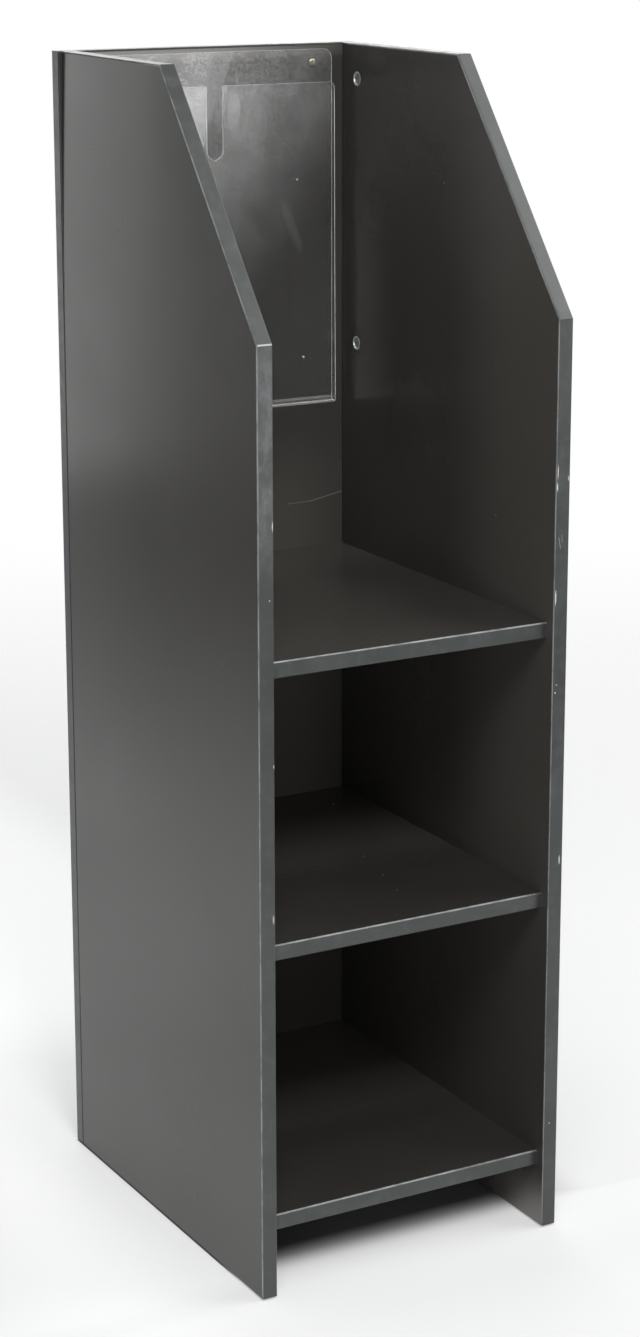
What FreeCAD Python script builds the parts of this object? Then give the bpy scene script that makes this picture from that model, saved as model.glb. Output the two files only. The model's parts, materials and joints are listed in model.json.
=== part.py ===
"""Periodical display rack: two sloped side panels, a back panel lapped behind them,
three shelves and a clear sign pocket, held together with cam fittings and dowels.

Millimetres. +Z is up and the rack faces -Y. The origin is on the floor, at the
centre of the footprint.
"""
import FreeCAD, Part
import os
import re

import Sketcher
from FreeCAD import Rotation, Vector

# Driving dimensions: name, value, meaning.
SIZES = [
    ("rack_height", 1180, "floor to the top edges"),
    ("rack_width", 342, "across the outer faces of the side panels"),
    ("side_depth", 418, "front edge of a side panel to the back panel"),
    ("board_thickness", 16, "every board"),
    ("band_thickness", 2, "edge band glued on each open edge"),
    ("band_radius", 1.5, "rounding of a band's two long outer edges"),
    ("slope_start", 942, "height at which a side panel's front edge turns back"),
    ("slope_setback", 189, "depth of the sloped edge"),
    ("bottom_shelf_top", 82, "height of the lowest shelf's upper face"),
    ("shelf_pitch", 280, "from one shelf to the next"),
    ("shelf_recess", 12, "shelf front behind the side panels' front edges"),
    ("glide_thickness", 2, "the boards stand this far off the floor"),
    ("glide_radius", 6, "nail-on floor glide"),
    ("glide_edge", 0.5, "chamfer round a glide's foot"),
    ("glide_inset", 9, "glide centre from a side panel's front or rear edge"),
    ("glide_nail_radius", 1.2, "nail of a glide"),
    ("glide_nail_length", 14, "nail of a glide, above its disc"),
    ("upper_cam_drop", 36, "upper back-joint cam below the top edges"),
    ("lower_cam_rise", 224, "lower back-joint cam above the top shelf"),
    ("foot_dowel_height", 40, "lowest back-joint dowel above the floor"),
    ("cam_setback", 31, "cam axis from the joint's face"),
    ("cam_margin", 60, "shelf cams from the shelf's front and rear edges"),
    ("cam_bore_radius", 7.5, "blind bore that a cam turns in"),
    ("cam_clearance", 0.05, "running clearance round a cam"),
    ("cam_skin", 3, "board left under a cam bore"),
    ("cam_end_gap", 0.5, "cam's end above the floor of its bore"),
    ("cam_travel", 180, "degrees that a cam turns from locked to free"),
    ("cam_cover", 4.5, "solid metal over a cam's cavity"),
    ("cam_wall", 1.75, "mean wall round a cam's cavity"),
    ("cavity_offset", 0.4, "eccentricity that draws the bolt in"),
    ("slot_overlap", 24, "degrees that a cam's neck slot runs past its travel"),
    ("neck_clearance", 0.3, "bolt neck in the cam's slot"),
    ("mouth_clearance", 0.4, "bolt head in the cam's mouth"),
    ("cross_length", 8, "cross recess in a cam's face"),
    ("cross_width", 1.6, "cross recess in a cam's face"),
    ("cross_depth", 2.5, "cross recess in a cam's face"),
    ("head_radius", 2.6, "head of a cam bolt"),
    ("head_length", 2.4, "head of a cam bolt"),
    ("head_chamfer", 0.9, "cone under the head"),
    ("head_gap", 0.6, "head's seat to the cavity wall when locked"),
    ("neck_radius", 1.5, "neck of a cam bolt"),
    ("shank_radius", 3.5, "shank of a cam bolt"),
    ("shank_gap", 1, "end of the shank to the cam bore"),
    ("bolt_bore_radius", 4, "edge bore for a cam bolt"),
    ("thread_radius", 2.5, "threaded end of a cam bolt, and its hole"),
    ("thread_skin", 4.5, "board left beyond a bolt's hole"),
    ("thread_end_gap", 0.5, "bolt's end to the floor of its hole"),
    ("dowel_radius", 4, "wooden dowel"),
    ("dowel_clearance", 0.05, "glue gap round a dowel"),
    ("dowel_reach", 20, "dowel in the edge of a board"),
    ("dowel_skin", 4, "board left beyond a dowel's face hole"),
    ("dowel_end_gap", 0.5, "dowel's end to the floor of its hole"),
    ("dowel_chamfer", 1, "dowel's ends"),
    ("dowel_offset", 32, "shelf dowel from the cam beside it"),
    ("back_dowel_inset", 65, "shelf-to-back dowels from the shelf's ends"),
    ("sheet_thickness", 1.5, "clear sheet of the sign pocket"),
    ("pocket_side_gap", 13.5, "sign pocket to each side panel"),
    ("pocket_height", 372, "backing plate above the fold"),
    ("pocket_front_height", 341, "front plate above the fold"),
    ("pocket_drop", 8, "backing plate below the top edge of the back panel"),
    ("pocket_base_gap", 7.2, "between the plates, at the fold"),
    ("pocket_mouth_gap", 4.5, "between the plates, at the mouth"),
    ("backing_corner_radius", 10, "upper corners of the backing plate"),
    ("front_corner_radius", 6, "upper corners of the front plate"),
    ("thumb_slot_radius", 9.15, "half the width of the thumb slot"),
    ("thumb_slot_depth", 75, "thumb slot below the front plate's top"),
    ("screw_inset", 23.5, "pocket screws from the pocket's side edges"),
    ("screw_drop", 12, "pocket screws below the backing plate's top"),
    ("screw_length", 12, "pocket screw under its head"),
    ("screw_radius", 1.75, "shank of a pocket screw, and its hole in the board"),
    ("screw_hole_clearance", 0.4, "pocket screw in the clear sheet"),
    ("screw_end_gap", 1, "pocket screw's tip to the floor of its hole"),
    ("screw_head_radius", 4, "pan head"),
    ("screw_head_height", 2.2, "pan head"),
    ("screw_head_crown", 1.2, "domed part of the pan head"),
    ("screw_cross_length", 3.6, "cross recess of the pan head"),
    ("screw_cross_width", 0.9, "cross recess of the pan head"),
    ("screw_cross_depth", 1.1, "cross recess of the pan head"),
]
NAMES = {name for name, _, _ in SIZES}

# Lengths that follow from the driving dimensions.
RACK_DEPTH = "(side_depth + board_thickness)"
INNER_WIDTH = "(rack_width - 2 * board_thickness)"
SHELF_DEPTH = "(side_depth - shelf_recess)"
HALF_BOARD = "(board_thickness / 2)"
BACK_FACE_Y = f"(side_depth - {RACK_DEPTH} / 2)"
FRONT_Y = f"(-{RACK_DEPTH} / 2)"

# The sloped edge, and the corners of the core inside its bands.
SLOPE_RISE = "(rack_height - slope_start)"
SLOPE_LENGTH = f"sqrt(slope_setback ^ 2 + {SLOPE_RISE} ^ 2)"
CORE_SLOPE_START = f"(slope_start + band_thickness * ({SLOPE_RISE} - {SLOPE_LENGTH}) / slope_setback)"
CORE_SETBACK = f"(slope_setback + band_thickness * ({SLOPE_LENGTH} - slope_setback) / {SLOPE_RISE})"
CORE_TOP = "(rack_height - band_thickness)"

# Bores and the pieces that fit them.
CAM_RADIUS = "(cam_bore_radius - cam_clearance)"
CAM_BORE_DEPTH = "(board_thickness - cam_skin)"
CAM_HEIGHT = f"({CAM_BORE_DEPTH} - cam_end_gap)"
CAVITY_RADIUS = f"({CAM_RADIUS} - cam_wall)"
HEAD_SEAT = f"({CAVITY_RADIUS} - cavity_offset - head_gap)"
THREAD_DEPTH = "(board_thickness - thread_skin)"
THREAD_LENGTH = f"({THREAD_DEPTH} - thread_end_gap)"
DOWEL_HOLE_RADIUS = "(dowel_radius + dowel_clearance)"
DOWEL_FACE_DEPTH = "(board_thickness - dowel_skin)"
DOWEL_FACE_REACH = f"({DOWEL_FACE_DEPTH} - dowel_end_gap)"
DOWEL_EDGE_DEPTH = "(dowel_reach + dowel_end_gap)"
BACK_DOWEL_SPREAD = f"({INNER_WIDTH} / 2 - back_dowel_inset)"
POCKET_WIDTH = f"({INNER_WIDTH} - 2 * pocket_side_gap)"
SCREW_SPREAD = f"({POCKET_WIDTH} / 2 - screw_inset)"
SCREW_HOLE_DEPTH = "(screw_length - sheet_thickness + screw_end_gap)"
POCKET_FOLD_RADIUS = "(sheet_thickness + pocket_base_gap / 2)"
POCKET_BASE = "(rack_height - pocket_drop - pocket_height)"
SCREW_HEIGHT = "(pocket_height - screw_drop)"

# Shelves by name, with the height of the upper face.
SHELVES = {
    "bottom_shelf": "bottom_shelf_top",
    "middle_shelf": "(bottom_shelf_top + shelf_pitch)",
    "top_shelf": "(bottom_shelf_top + 2 * shelf_pitch)",
}
# Distances along a shelf from its front edge.
SHELF_CAMS = {"front": "cam_margin", "rear": f"({SHELF_DEPTH} - cam_margin)"}
SHELF_DOWELS = {
    "front": "(cam_margin + dowel_offset)",
    "rear": f"({SHELF_DEPTH} - cam_margin - dowel_offset)",
}
# Heights of the fittings that hold the back panel to each side panel.
BACK_CAMS = {
    "upper": "(rack_height - upper_cam_drop)",
    "lower": f"({SHELVES['top_shelf']} + lower_cam_rise)",
}
BACK_DOWELS = [
    "foot_dowel_height",
    "(bottom_shelf_top + shelf_pitch / 2)",
    "(bottom_shelf_top + 3 * shelf_pitch / 2)",
    f"(({BACK_CAMS['upper']} + {BACK_CAMS['lower']}) / 2)",
]
SIDES = {"left": -1, "right": 1}
CUT_SPARE = 1    # how far a cutting shape stands clear of the face that it enters
NEAR = 1e-6      # two edges this close are the same

doc = FreeCAD.newDocument("periodical_display_rack")
nodes = []


def bind(text):
    """Point every size named in an expression at its cell in the sheet."""
    def cell(match):
        word = match.group()
        return f"sizes.{word}" if word in NAMES else word
    return re.sub(r"[a-z][a-z_]*[a-z]", cell, str(text))


def value(text):
    """The present value of an expression."""
    return float(sheet.evalExpression(bind(text)))


def make_sheet():
    """Write the driving dimensions, each with its alias and meaning."""
    page = doc.addObject("Spreadsheet::Sheet", "sizes")
    for row, (name, number, meaning) in enumerate(SIZES, start=1):
        page.set(f"A{row}", name)
        page.set(f"B{row}", str(number))
        page.set(f"C{row}", meaning)
        page.setAlias(f"B{row}", name)
    doc.recompute()
    return page


def node(feature, label):
    """Name a finished sub-part."""
    feature.Label = label
    nodes.append(feature)
    return feature


def place(feature, x=0, y=0, z=0, rotation=None):
    """Turn a feature and hold its position by three expressions."""
    feature.Placement = FreeCAD.Placement(Vector(), rotation or Rotation())
    for axis, text in zip("xyz", (x, y, z)):
        feature.setExpression(f".Placement.Base.{axis}", bind(text))
    return feature


# ---------------------------------------------------------------- sketches


def add_sketch(body, plane_role, offset=0):
    """A sketch on one of the body's origin planes, moved along its normal."""
    sketch = body.newObject("Sketcher::SketchObject", f"{body.Name}_sketch")
    plane = next(f for f in body.Origin.OriginFeatures if f.Role == plane_role)
    sketch.AttachmentSupport = [(plane, "")]
    sketch.MapMode = "FlatFace"
    sketch.setExpression(".AttachmentOffset.Base.z", bind(offset))
    return sketch


def hold_point(sketch, geometry, point, x, y):
    """Dimension one point of a sketch from its origin."""
    for kind, text in (("DistanceX", x), ("DistanceY", y)):
        if text is not None:
            rule = Sketcher.Constraint(kind, -1, 1, geometry, point, value(text))
            index = sketch.addConstraint(rule)
            sketch.setExpression(f"Constraints[{index}]", bind(text))


def draw_outline(sketch, corners, arcs=None):
    """A closed outline. arcs maps a side's number to its centre and its turn, +1 or -1."""
    arcs = arcs or {}
    points = [Vector(value(x), value(y), 0) for x, y in corners]
    for side, start in enumerate(points):
        end = points[(side + 1) % len(points)]
        if side in arcs:
            centre_x, centre_y, turn = arcs[side]
            centre = Vector(value(centre_x), value(centre_y), 0)
            first, last = (start, end) if turn > 0 else (end, start)
            circle = Part.Circle(centre, Vector(0, 0, 1), (start - centre).Length)
            sketch.addGeometry(Part.ArcOfCircle(circle, circle.parameter(first), circle.parameter(last)))
        else:
            sketch.addGeometry(Part.LineSegment(start, end))

    def ends(side):
        return (2, 1) if side in arcs and arcs[side][2] < 0 else (1, 2)

    for side, (x, y) in enumerate(corners):
        following = (side + 1) % len(points)
        sketch.addConstraint(
            Sketcher.Constraint("Coincident", side, ends(side)[1], following, ends(following)[0]))
        hold_point(sketch, side, ends(side)[0], x, y)
        if side in arcs:
            hold_point(sketch, side, 3, None, arcs[side][1])


def draw_circles(sketch, centres, radius):
    """Circles of one radius."""
    for x, y in centres:
        circle = Part.Circle(Vector(value(x), value(y), 0), Vector(0, 0, 1), value(radius))
        geometry = sketch.addGeometry(circle)
        hold_point(sketch, geometry, 3, x, y)
        index = sketch.addConstraint(Sketcher.Constraint("Radius", geometry, value(radius)))
        sketch.setExpression(f"Constraints[{index}]", bind(radius))


# ---------------------------------------------------------------- features


def pad(body, sketch, length, reverse=False):
    """Grow a sketch into a solid, along its normal or against it."""
    feature = body.newObject("PartDesign::Pad", f"{body.Name}_pad")
    feature.Profile = sketch
    feature.Reversed = reverse
    feature.setExpression("Length", bind(length))
    sketch.Visibility = False
    doc.recompute()
    return feature


def cut(body, sketch, depth, reverse=False):
    """Pocket a sketch, against its normal or along it, and see that it removed something."""
    before = body.Shape.Volume
    feature = body.newObject("PartDesign::Pocket", f"{body.Name}_pocket")
    feature.Profile = sketch
    feature.Reversed = reverse
    feature.setExpression("Length", bind(depth))
    sketch.Visibility = False
    doc.recompute()
    if not body.Shape.Volume < before:
        raise RuntimeError(f"{feature.Name} of {body.Name} removed nothing")
    return feature


def drill(body, plane_role, offset, centres, radius, depth, reverse=False):
    """Blind round holes from one plane."""
    sketch = add_sketch(body, plane_role, offset)
    draw_circles(sketch, centres, radius)
    return cut(body, sketch, depth, reverse)


def round_edges(body, chosen, radius):
    """Fillet the body's edges that the test chooses."""
    base = body.Tip
    names = [f"Edge{i}" for i, edge in enumerate(base.Shape.Edges, start=1) if chosen(edge)]
    feature = body.newObject("PartDesign::Fillet", f"{body.Name}_fillet")
    feature.Base = (base, names)
    feature.setExpression("Radius", bind(radius))
    doc.recompute()
    return feature


def new_body(name):
    return doc.addObject("PartDesign::Body", name)


# ---------------------------------------------------------------- edge bands


def along(edge, start, end):
    """Whether an edge lies on the line from start to end."""
    direction = (end - start).normalize()
    away = [(v.Point - start).cross(direction).Length for v in edge.Vertexes]
    return len(away) == 2 and max(away) < NEAR


def make_band(label, plane_role, corners, length, reverse, x, y, z=0):
    """A mitred band. Its first two corners lie on the board's outer edge, which is rounded."""
    body = new_body(label)
    sketch = add_sketch(body, plane_role)
    draw_outline(sketch, corners)
    pad(body, sketch, length, reverse)
    to_body = sketch.Placement
    flat = [Vector(value(a), value(b), 0) for a, b in corners[:2]]
    rise = to_body.Rotation.multVec(Vector(0, 0, -1 if reverse else 1)) * value(length)
    lines = [[to_body.multVec(p) + shift for p in flat] for shift in (Vector(), rise)]
    round_edges(body, lambda edge: any(along(edge, *line) for line in lines), "band_radius")
    place(body, x, y, z)
    return node(body, label)


def side_x(sign):
    """Local x = 0 of a side panel and of its bands."""
    return "(-rack_width / 2)" if sign < 0 else "(rack_width / 2 - board_thickness)"


def make_side_bands(side, sign):
    """Bands on the front, sloped, top and rear edges of one side panel."""
    outer = [
        (0, "glide_thickness"),
        (0, "slope_start"),
        ("slope_setback", "rack_height"),
        ("side_depth", "rack_height"),
        ("side_depth", "glide_thickness"),
    ]
    inner = [
        ("band_thickness", "glide_thickness"),
        ("band_thickness", CORE_SLOPE_START),
        (CORE_SETBACK, CORE_TOP),
        ("(side_depth - band_thickness)", CORE_TOP),
        ("(side_depth - band_thickness)", "glide_thickness"),
    ]
    for i, edge in enumerate(("front", "slope", "top", "rear")):
        corners = [outer[i], outer[i + 1], inner[i + 1], inner[i]]
        band = make_band(f"{side}_{edge}_band", "YZ_Plane", corners, "board_thickness", False,
                         side_x(sign), FRONT_Y)
        if edge == "rear":
            drill_rear_edge(band)


def make_back_bands():
    """Bands on the left, top and right edges of the back panel."""
    outer = [
        (0, "glide_thickness"),
        (0, "rack_height"),
        ("rack_width", "rack_height"),
        ("rack_width", "glide_thickness"),
    ]
    inner = [
        ("band_thickness", "glide_thickness"),
        ("band_thickness", CORE_TOP),
        ("(rack_width - band_thickness)", CORE_TOP),
        ("(rack_width - band_thickness)", "glide_thickness"),
    ]
    for i, edge in enumerate(("left", "top", "right")):
        corners = [outer[i], outer[i + 1], inner[i + 1], inner[i]]
        make_band(f"back_{edge}_band", "XZ_Plane", corners, "board_thickness", True,
                  "(-rack_width / 2)", BACK_FACE_Y)


def make_shelf_band(shelf, top):
    corners = [
        (0, 0),
        (INNER_WIDTH, 0),
        (INNER_WIDTH, "band_thickness"),
        (0, "band_thickness"),
    ]
    make_band(f"{shelf}_front_band", "XY_Plane", corners, "board_thickness", False,
              f"(-{INNER_WIDTH} / 2)", f"({FRONT_Y} + shelf_recess)", f"({top} - board_thickness)")


# ---------------------------------------------------------------- boards


def drill_rear_edge(body):
    """Cam-bolt bores and dowel holes in the rear edge of a side panel, through its band."""
    plane = ("XZ_Plane", "(-side_depth)")
    bolts = [(HALF_BOARD, height) for height in BACK_CAMS.values()]
    dowels = [(HALF_BOARD, height) for height in BACK_DOWELS]
    drill(body, *plane, bolts, "bolt_bore_radius", "cam_setback", reverse=True)
    drill(body, *plane, dowels, DOWEL_HOLE_RADIUS, DOWEL_EDGE_DEPTH, reverse=True)


def make_side_panel(side, sign):
    """Core of a side panel. Its inner face looks towards the shelves."""
    label = f"{side}_side_panel"
    body = new_body(label)
    outline = add_sketch(body, "YZ_Plane")
    draw_outline(outline, [
        ("band_thickness", "glide_thickness"),
        ("band_thickness", CORE_SLOPE_START),
        (CORE_SETBACK, CORE_TOP),
        ("(side_depth - band_thickness)", CORE_TOP),
        ("(side_depth - band_thickness)", "glide_thickness"),
    ])
    pad(body, outline, "board_thickness")

    inner_face = ("YZ_Plane", "board_thickness" if sign < 0 else 0)
    inwards = sign > 0
    cams = [("(side_depth - cam_setback)", height) for height in BACK_CAMS.values()]
    bolts, dowels = [], []
    for top in SHELVES.values():
        middle = f"({top} - {HALF_BOARD})"
        bolts += [(f"(shelf_recess + {y})", middle) for y in SHELF_CAMS.values()]
        dowels += [(f"(shelf_recess + {y})", middle) for y in SHELF_DOWELS.values()]
    drill(body, *inner_face, cams, "cam_bore_radius", CAM_BORE_DEPTH, inwards)
    drill(body, *inner_face, bolts, "thread_radius", THREAD_DEPTH, inwards)
    drill(body, *inner_face, dowels, DOWEL_HOLE_RADIUS, DOWEL_FACE_DEPTH, inwards)
    drill_rear_edge(body)
    nails = [(HALF_BOARD, "glide_inset"), (HALF_BOARD, "(side_depth - glide_inset)")]
    drill(body, "XY_Plane", "glide_thickness", nails, "glide_nail_radius", "glide_nail_length", True)
    place(body, side_x(sign), FRONT_Y)
    return node(body, label)


def make_back_panel():
    """Core of the back panel, with its drillings in the front face."""
    body = new_body("back_panel")
    outline = add_sketch(body, "XZ_Plane")
    draw_outline(outline, [
        ("band_thickness", "glide_thickness"),
        ("band_thickness", CORE_TOP),
        ("(rack_width - band_thickness)", CORE_TOP),
        ("(rack_width - band_thickness)", "glide_thickness"),
    ])
    pad(body, outline, "board_thickness", reverse=True)

    edges = (HALF_BOARD, f"(rack_width - {HALF_BOARD})")
    front = ("XZ_Plane", 0)
    bolts = [(x, height) for x in edges for height in BACK_CAMS.values()]
    dowels = [(x, height) for x in edges for height in BACK_DOWELS]
    dowels += [(f"(rack_width / 2 {sign} {BACK_DOWEL_SPREAD})", f"({top} - {HALF_BOARD})")
               for sign in "-+" for top in SHELVES.values()]
    screws = [(f"(rack_width / 2 {sign} {SCREW_SPREAD})", f"({POCKET_BASE} + {SCREW_HEIGHT})")
              for sign in "-+"]
    drill(body, *front, bolts, "thread_radius", THREAD_DEPTH)
    drill(body, *front, dowels, DOWEL_HOLE_RADIUS, DOWEL_FACE_DEPTH)
    drill(body, *front, screws, "screw_radius", SCREW_HOLE_DEPTH)
    place(body, "(-rack_width / 2)", BACK_FACE_Y)
    return node(body, "back_panel")


def make_shelf(shelf, top):
    """Core of a shelf, drilled in its underside, both ends and its rear edge."""
    body = new_body(shelf)
    outline = add_sketch(body, "XY_Plane")
    draw_outline(outline, [
        (0, "band_thickness"),
        (INNER_WIDTH, "band_thickness"),
        (INNER_WIDTH, SHELF_DEPTH),
        (0, SHELF_DEPTH),
    ])
    pad(body, outline, "board_thickness")

    cams = [(x, y) for x in ("cam_setback", f"({INNER_WIDTH} - cam_setback)")
            for y in SHELF_CAMS.values()]
    drill(body, "XY_Plane", 0, cams, "cam_bore_radius", CAM_BORE_DEPTH, reverse=True)
    bolts = [(y, HALF_BOARD) for y in SHELF_CAMS.values()]
    dowels = [(y, HALF_BOARD) for y in SHELF_DOWELS.values()]
    for end, inwards in ((0, True), (INNER_WIDTH, False)):
        drill(body, "YZ_Plane", end, bolts, "bolt_bore_radius", "cam_setback", inwards)
        drill(body, "YZ_Plane", end, dowels, DOWEL_HOLE_RADIUS, DOWEL_EDGE_DEPTH, inwards)
    rear = [(f"({INNER_WIDTH} / 2 {sign} {BACK_DOWEL_SPREAD})", HALF_BOARD) for sign in "-+"]
    drill(body, "XZ_Plane", f"(-{SHELF_DEPTH})", rear, DOWEL_HOLE_RADIUS, DOWEL_EDGE_DEPTH, True)
    place(body, f"(-{INNER_WIDTH} / 2)", f"({FRONT_Y} + shelf_recess)", f"({top} - board_thickness)")
    return node(body, shelf)


# ---------------------------------------------------------------- sign pocket


def make_sign_pocket():
    """One clear sheet folded up at its foot. Local y runs forward from the back panel."""
    body = new_body("sign_pocket")
    fold = POCKET_FOLD_RADIUS
    inner_foot = "(sheet_thickness + pocket_base_gap)"
    inner_mouth = "(sheet_thickness + pocket_mouth_gap)"
    profile = add_sketch(body, "YZ_Plane")
    draw_outline(profile, [
        (0, fold),
        (0, "pocket_height"),
        ("sheet_thickness", "pocket_height"),
        ("sheet_thickness", fold),
        (inner_foot, fold),
        (inner_mouth, "pocket_front_height"),
        (f"({inner_mouth} + sheet_thickness)", "pocket_front_height"),
        (f"({inner_foot} + sheet_thickness)", fold),
    ], arcs={3: (fold, fold, 1), 7: (fold, fold, -1)})
    pad(body, profile, POCKET_WIDTH)

    in_front = f"({inner_foot} + sheet_thickness + {CUT_SPARE})"
    slot = add_sketch(body, "XZ_Plane", f"(-{in_front})")
    left, right = (f"({POCKET_WIDTH} / 2 {sign} thumb_slot_radius)" for sign in "-+")
    slot_foot = "(pocket_front_height - thumb_slot_depth + thumb_slot_radius)"
    slot_top = f"(pocket_front_height + {CUT_SPARE})"
    draw_outline(slot, [(left, slot_foot), (right, slot_foot), (right, slot_top), (left, slot_top)],
                 arcs={0: (f"({POCKET_WIDTH} / 2)", slot_foot, 1)})
    cut(body, slot, f"({in_front} - sheet_thickness - pocket_mouth_gap / 2)", reverse=True)

    holes = [(f"({POCKET_WIDTH} / 2 {sign} {SCREW_SPREAD})", SCREW_HEIGHT) for sign in "-+"]
    drill(body, "XZ_Plane", 0, holes, "(screw_radius + screw_hole_clearance)",
          f"(sheet_thickness + {CUT_SPARE})")

    for height, radius in (("pocket_height", "backing_corner_radius"),
                           ("pocket_front_height", "front_corner_radius")):
        round_edges(body, plate_corner(value(height)), radius)
    half_turn = Rotation(Vector(0, 0, 1), 180)
    place(body, f"({POCKET_WIDTH} / 2)", BACK_FACE_Y, POCKET_BASE, half_turn)
    return node(body, "sign_pocket")


def plate_corner(height):
    """Test for the two short edges across the sheet at a plate's upper corners."""
    ends = (0, value(POCKET_WIDTH))

    def chosen(edge):
        box = edge.BoundBox
        level = abs(box.ZMin - height) < NEAR and box.ZLength < NEAR and box.XLength < NEAR
        return level and any(abs(box.XMin - end) < NEAR for end in ends)
    return chosen


# ---------------------------------------------------------------- fittings


def turned(name, stations, axis="Z", height=0):
    """A turned piece: each station is its start, length and two end radii."""
    turn = Rotation(Vector(0, 1, 0), 90) if axis == "X" else Rotation()
    pieces = []
    for start, length, first_radius, last_radius in stations:
        straight = first_radius == last_radius
        piece = doc.addObject("Part::Cylinder" if straight else "Part::Cone", f"{name}_length")
        piece.setExpression("Height", bind(length))
        radii = {"Radius": first_radius} if straight else {"Radius1": first_radius, "Radius2": last_radius}
        for key, text in radii.items():
            piece.setExpression(key, bind(text))
        offset = (start, 0, height) if axis == "X" else (0, 0, start)
        pieces.append(place(piece, *offset, turn))
    fused = doc.addObject("Part::MultiFuse", name)
    fused.Shapes = pieces
    fused.Refine = True
    doc.recompute()
    return fused


def cross_arms(name, length, width, depth, top=0):
    """Two crossed bars that cut a driver recess down from a height."""
    arms = []
    for along_x, across in ((length, width), (width, length)):
        arm = doc.addObject("Part::Box", f"{name}_arm")
        for key, text in (("Length", along_x), ("Width", across), ("Height", depth)):
            arm.setExpression(key, bind(text))
        arms.append(place(arm, f"(-{along_x} / 2)", f"(-{across} / 2)", f"({top} - {depth})"))
    return arms


def subtract(name, base, tools):
    """Cut several tools from a base in one step."""
    joined = doc.addObject("Part::MultiFuse", f"{name}_tools")
    joined.Shapes = tools
    result = doc.addObject("Part::Cut", name)
    result.Base = base
    result.Tool = joined
    doc.recompute()
    return result


def make_cam():
    """A locked cam. Its face is at z = 0, and the bolt comes in along -X at half the board."""
    disc = doc.addObject("Part::Cylinder", "cam_disc")
    disc.setExpression("Radius", bind(CAM_RADIUS))
    disc.setExpression("Height", bind(CAM_HEIGHT))
    place(disc, z=f"(-{CAM_HEIGHT})")

    cavity = doc.addObject("Part::Cylinder", "cam_cavity")
    cavity.setExpression("Radius", bind(CAVITY_RADIUS))
    cavity.setExpression("Height", bind(f"({CAM_HEIGHT} - cam_cover)"))
    place(cavity, x="(-cavity_offset)", z=f"(-{CAM_HEIGHT})")

    past_rim = f"(cam_bore_radius + {CUT_SPARE})"
    half_slot = "(neck_radius + neck_clearance)"
    slot = doc.addObject("Part::Cylinder", "cam_neck_slot")
    slot.setExpression("Radius", bind(past_rim))
    slot.setExpression("Height", bind(f"(2 * {half_slot})"))
    slot.setExpression("Angle", bind("(cam_travel + 2 * slot_overlap)"))
    start = Rotation(Vector(0, 0, 1), value("(-cam_travel - slot_overlap)"))
    place(slot, z=f"(-{HALF_BOARD} - {half_slot})", rotation=start)

    mouth = doc.addObject("Part::Cylinder", "cam_mouth")
    mouth.setExpression("Radius", bind("(head_radius + mouth_clearance)"))
    mouth.setExpression("Height", bind(past_rim))
    place(mouth, z=f"(-{HALF_BOARD})", rotation=Rotation(Vector(0, 1, 0), -90))

    arms = cross_arms("cam", "cross_length", "cross_width", "cross_depth")
    return subtract("cam_pattern", disc, [cavity, slot, mouth] + arms)


def make_cam_bolt():
    """A bolt in the frame of its cam: head in the cavity, thread beyond the joint's face."""
    shank_end = "(cam_bore_radius + shank_gap)"
    head_end = f"({HEAD_SEAT} - head_chamfer)"
    seat_radius = "(head_radius - head_chamfer)"
    return turned("bolt_pattern", [
        (f"({HEAD_SEAT} - head_length)", "(head_length - head_chamfer)", "head_radius", "head_radius"),
        (head_end, "head_chamfer", "head_radius", seat_radius),
        (HEAD_SEAT, f"({shank_end} - {HEAD_SEAT})", "neck_radius", "neck_radius"),
        (shank_end, f"(cam_setback - {shank_end})", "shank_radius", "shank_radius"),
        ("cam_setback", THREAD_LENGTH, "thread_radius", "thread_radius"),
    ], axis="X", height=f"(-{HALF_BOARD})")


def make_dowel():
    """A dowel across a joint at x = 0. The board drilled in its face lies on the +X side."""
    tip_radius = "(dowel_radius - dowel_chamfer)"
    return turned("dowel_pattern", [
        ("(-dowel_reach)", "dowel_chamfer", tip_radius, "dowel_radius"),
        ("(dowel_chamfer - dowel_reach)", f"(dowel_reach + {DOWEL_FACE_REACH} - 2 * dowel_chamfer)",
         "dowel_radius", "dowel_radius"),
        (f"({DOWEL_FACE_REACH} - dowel_chamfer)", "dowel_chamfer", "dowel_radius", tip_radius),
    ], axis="X")


def make_glide():
    """A glide with its foot on the floor and its nail pointing up."""
    foot_radius = "(glide_radius - glide_edge)"
    return turned("glide_pattern", [
        (0, "glide_edge", foot_radius, "glide_radius"),
        ("glide_edge", "(glide_thickness - glide_edge)", "glide_radius", "glide_radius"),
        ("glide_thickness", "glide_nail_length", "glide_nail_radius", "glide_nail_radius"),
    ])


def make_pocket_screw():
    """A pan-head screw whose head sits on z = 0 and whose shank points down."""
    straight = "(screw_head_height - screw_head_crown)"
    crown_radius = "(screw_head_radius - screw_head_crown)"
    blank = turned("screw_blank", [
        ("(-screw_length)", "screw_length", "screw_radius", "screw_radius"),
        (0, straight, "screw_head_radius", "screw_head_radius"),
        (straight, "screw_head_crown", "screw_head_radius", crown_radius),
    ])
    arms = cross_arms("screw", "screw_cross_length", "screw_cross_width", "screw_cross_depth",
                      "screw_head_height")
    return subtract("screw_pattern", blank, arms)


def copy_of(pattern, name, position, rotation=None):
    """One more of a fitting, at its own place."""
    link = doc.addObject("App::Link", name)
    link.LinkedObject = pattern
    return place(link, *position, rotation)


def group(label, members):
    """Identical fittings that share one node."""
    compound = doc.addObject("Part::Compound", label)
    compound.Links = members
    doc.recompute()
    return node(compound, label)


def axes(x_axis, z_axis):
    """The rotation that takes a fitting's own X and Z to these directions."""
    return Rotation(Vector(*x_axis), Vector(*z_axis).cross(Vector(*x_axis)), Vector(*z_axis), "ZXY")


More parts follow.
